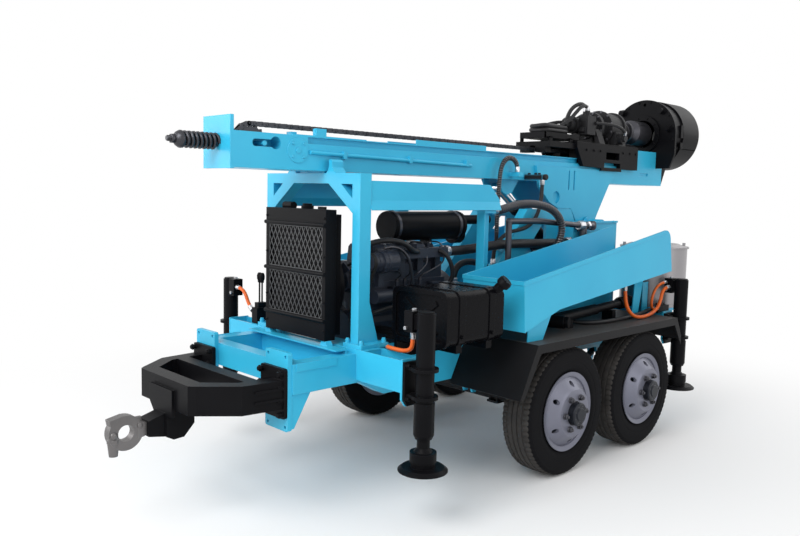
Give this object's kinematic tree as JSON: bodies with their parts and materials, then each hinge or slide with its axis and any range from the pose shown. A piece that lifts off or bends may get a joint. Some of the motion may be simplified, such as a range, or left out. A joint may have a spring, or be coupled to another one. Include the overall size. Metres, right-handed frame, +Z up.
{
  "type": "trailer-mounted water well drilling rig",
  "caption": "Towed tandem-axle drilling rig with a raising mast, a rotary head on a chain feed, an open engine, side trays and jacks.",
  "frame": {"origin": "centre of the overall box, on the ground", "axes": "+X to the left of travel, +Y to the rear (drill table), +Z up"},
  "size_m": [1.992, 5.124, 2.472],
  "materials": {
    "blue_paint": "gloss",
    "black_paint": "satin",
    "zinc_steel": "satin",
    "engine_iron": "satin",
    "tank_black": "satin",
    "rim_paint": "satin",
    "tyre_rubber": "matte",
    "chain_steel": "satin",
    "dark_steel": "satin",
    "chrome_rod": "gloss",
    "stainless": "satin",
    "hose_rubber": "matte",
    "orange_hose": "satin"
  },
  "bodies": {
    "chassis": {"chassis_frame": "blue_paint", "drawbar": "black_paint", "tow_eye": "zinc_steel", "gantry": "blue_paint", "upper_frame": "blue_paint", "radiator": "black_paint", "engine_block": "engine_iron", "muffler": "black_paint", "fuel_tank": "tank_black", "jack_tubes": "black_paint", "mudguards": "black_paint", "trays": "blue_paint", "axles": "black_paint", "mast_tower": "blue_paint", "lift_pin": "dark_steel", "oil_can": "stainless", "control_levers": "black_paint", "air_pipe": "black_paint", "water_inlet": "dark_steel", "hoses_black": "hose_rubber", "valve_block": "black_paint", "engine_mounts": "black_paint", "hoses_orange": "orange_hose"},
    "mast": {"mast_beam": "blue_paint", "mast_bracket": "blue_paint", "tension_spring": "black_paint", "feed_chain": "chain_steel", "drill_table": "black_paint", "mast_hoses": "hose_rubber"},
    "head": {"feed_carriage": "black_paint", "rotary_head": "black_paint", "hose_drum": "black_paint"},
    "drill_spindle": {"spindle": "dark_steel"},
    "lift_tube": {"lift_barrel": "black_paint"},
    "lift_ram": {"lift_rod": "chrome_rod"},
    "wheel_fl": {"rim_fl": "rim_paint", "tyre_fl": "tyre_rubber"},
    "wheel_fr": {"rim_fr": "rim_paint", "tyre_fr": "tyre_rubber"},
    "wheel_rl": {"rim_rl": "rim_paint", "tyre_rl": "tyre_rubber"},
    "wheel_rr": {"rim_rr": "rim_paint", "tyre_rr": "tyre_rubber"},
    "jack_fl": {"jack_leg_fl": "black_paint"},
    "jack_fr": {"jack_leg_fr": "black_paint"},
    "jack_rl": {"jack_leg_rl": "black_paint"},
    "jack_rr": {"jack_leg_rr": "black_paint"}
  },
  "joints": [
    {"name": "wheel_fl_spin", "type": "hinge", "parent": "chassis", "child": "wheel_fl", "pos_m": [0.805, -0.193, 0.3835], "axis": [1, 0, 0], "continuous": true},
    {"name": "wheel_fr_spin", "type": "hinge", "parent": "chassis", "child": "wheel_fr", "pos_m": [-0.805, -0.193, 0.3835], "axis": [1, 0, 0], "continuous": true},
    {"name": "wheel_rl_spin", "type": "hinge", "parent": "chassis", "child": "wheel_rl", "pos_m": [0.805, 0.663, 0.3835], "axis": [1, 0, 0], "continuous": true},
    {"name": "wheel_rr_spin", "type": "hinge", "parent": "chassis", "child": "wheel_rr", "pos_m": [-0.805, 0.663, 0.3835], "axis": [1, 0, 0], "continuous": true},
    {"name": "jack_fl_extend", "type": "slide", "parent": "chassis", "child": "jack_fl", "axis": [0, 0, -1], "range_m": [0, 0.45]},
    {"name": "jack_fr_extend", "type": "slide", "parent": "chassis", "child": "jack_fr", "axis": [0, 0, -1], "range_m": [0, 0.45]},
    {"name": "jack_rl_extend", "type": "slide", "parent": "chassis", "child": "jack_rl", "axis": [0, 0, -1], "range_m": [0, 0.45]},
    {"name": "jack_rr_extend", "type": "slide", "parent": "chassis", "child": "jack_rr", "axis": [0, 0, -1], "range_m": [0, 0.45]},
    {"name": "mast_raise", "type": "hinge", "parent": "chassis", "child": "mast", "pos_m": [0, 1.085, 1.43], "axis": [-1, 0, 0], "range_deg": [0, 90]},
    {"name": "lift_swing", "type": "hinge", "parent": "chassis", "child": "lift_tube", "pos_m": [0, 0.855, 1.25], "axis": [-1, 0, 0], "range_deg": [0, 81]},
    {"name": "lift_extend", "type": "slide", "parent": "lift_tube", "child": "lift_ram", "axis": [0, -0.8281, 0.5606], "range_m": [0, 0.385]},
    {"name": "feed_slide", "type": "slide", "parent": "mast", "child": "head", "axis": [0, -1, 0], "range_m": [0, 1.9]},
    {"name": "spindle_spin", "type": "hinge", "parent": "head", "child": "drill_spindle", "pos_m": [0, 1.9, 2.182], "axis": [0, 1, 0], "continuous": true}
  ],
  "couplings": [
    {"joint": "lift_swing", "follows": "mast_raise", "ratio": 0.89683},
    {"joint": "lift_extend", "follows": "mast_raise", "m_per_rad": 0.24373}
  ]
}
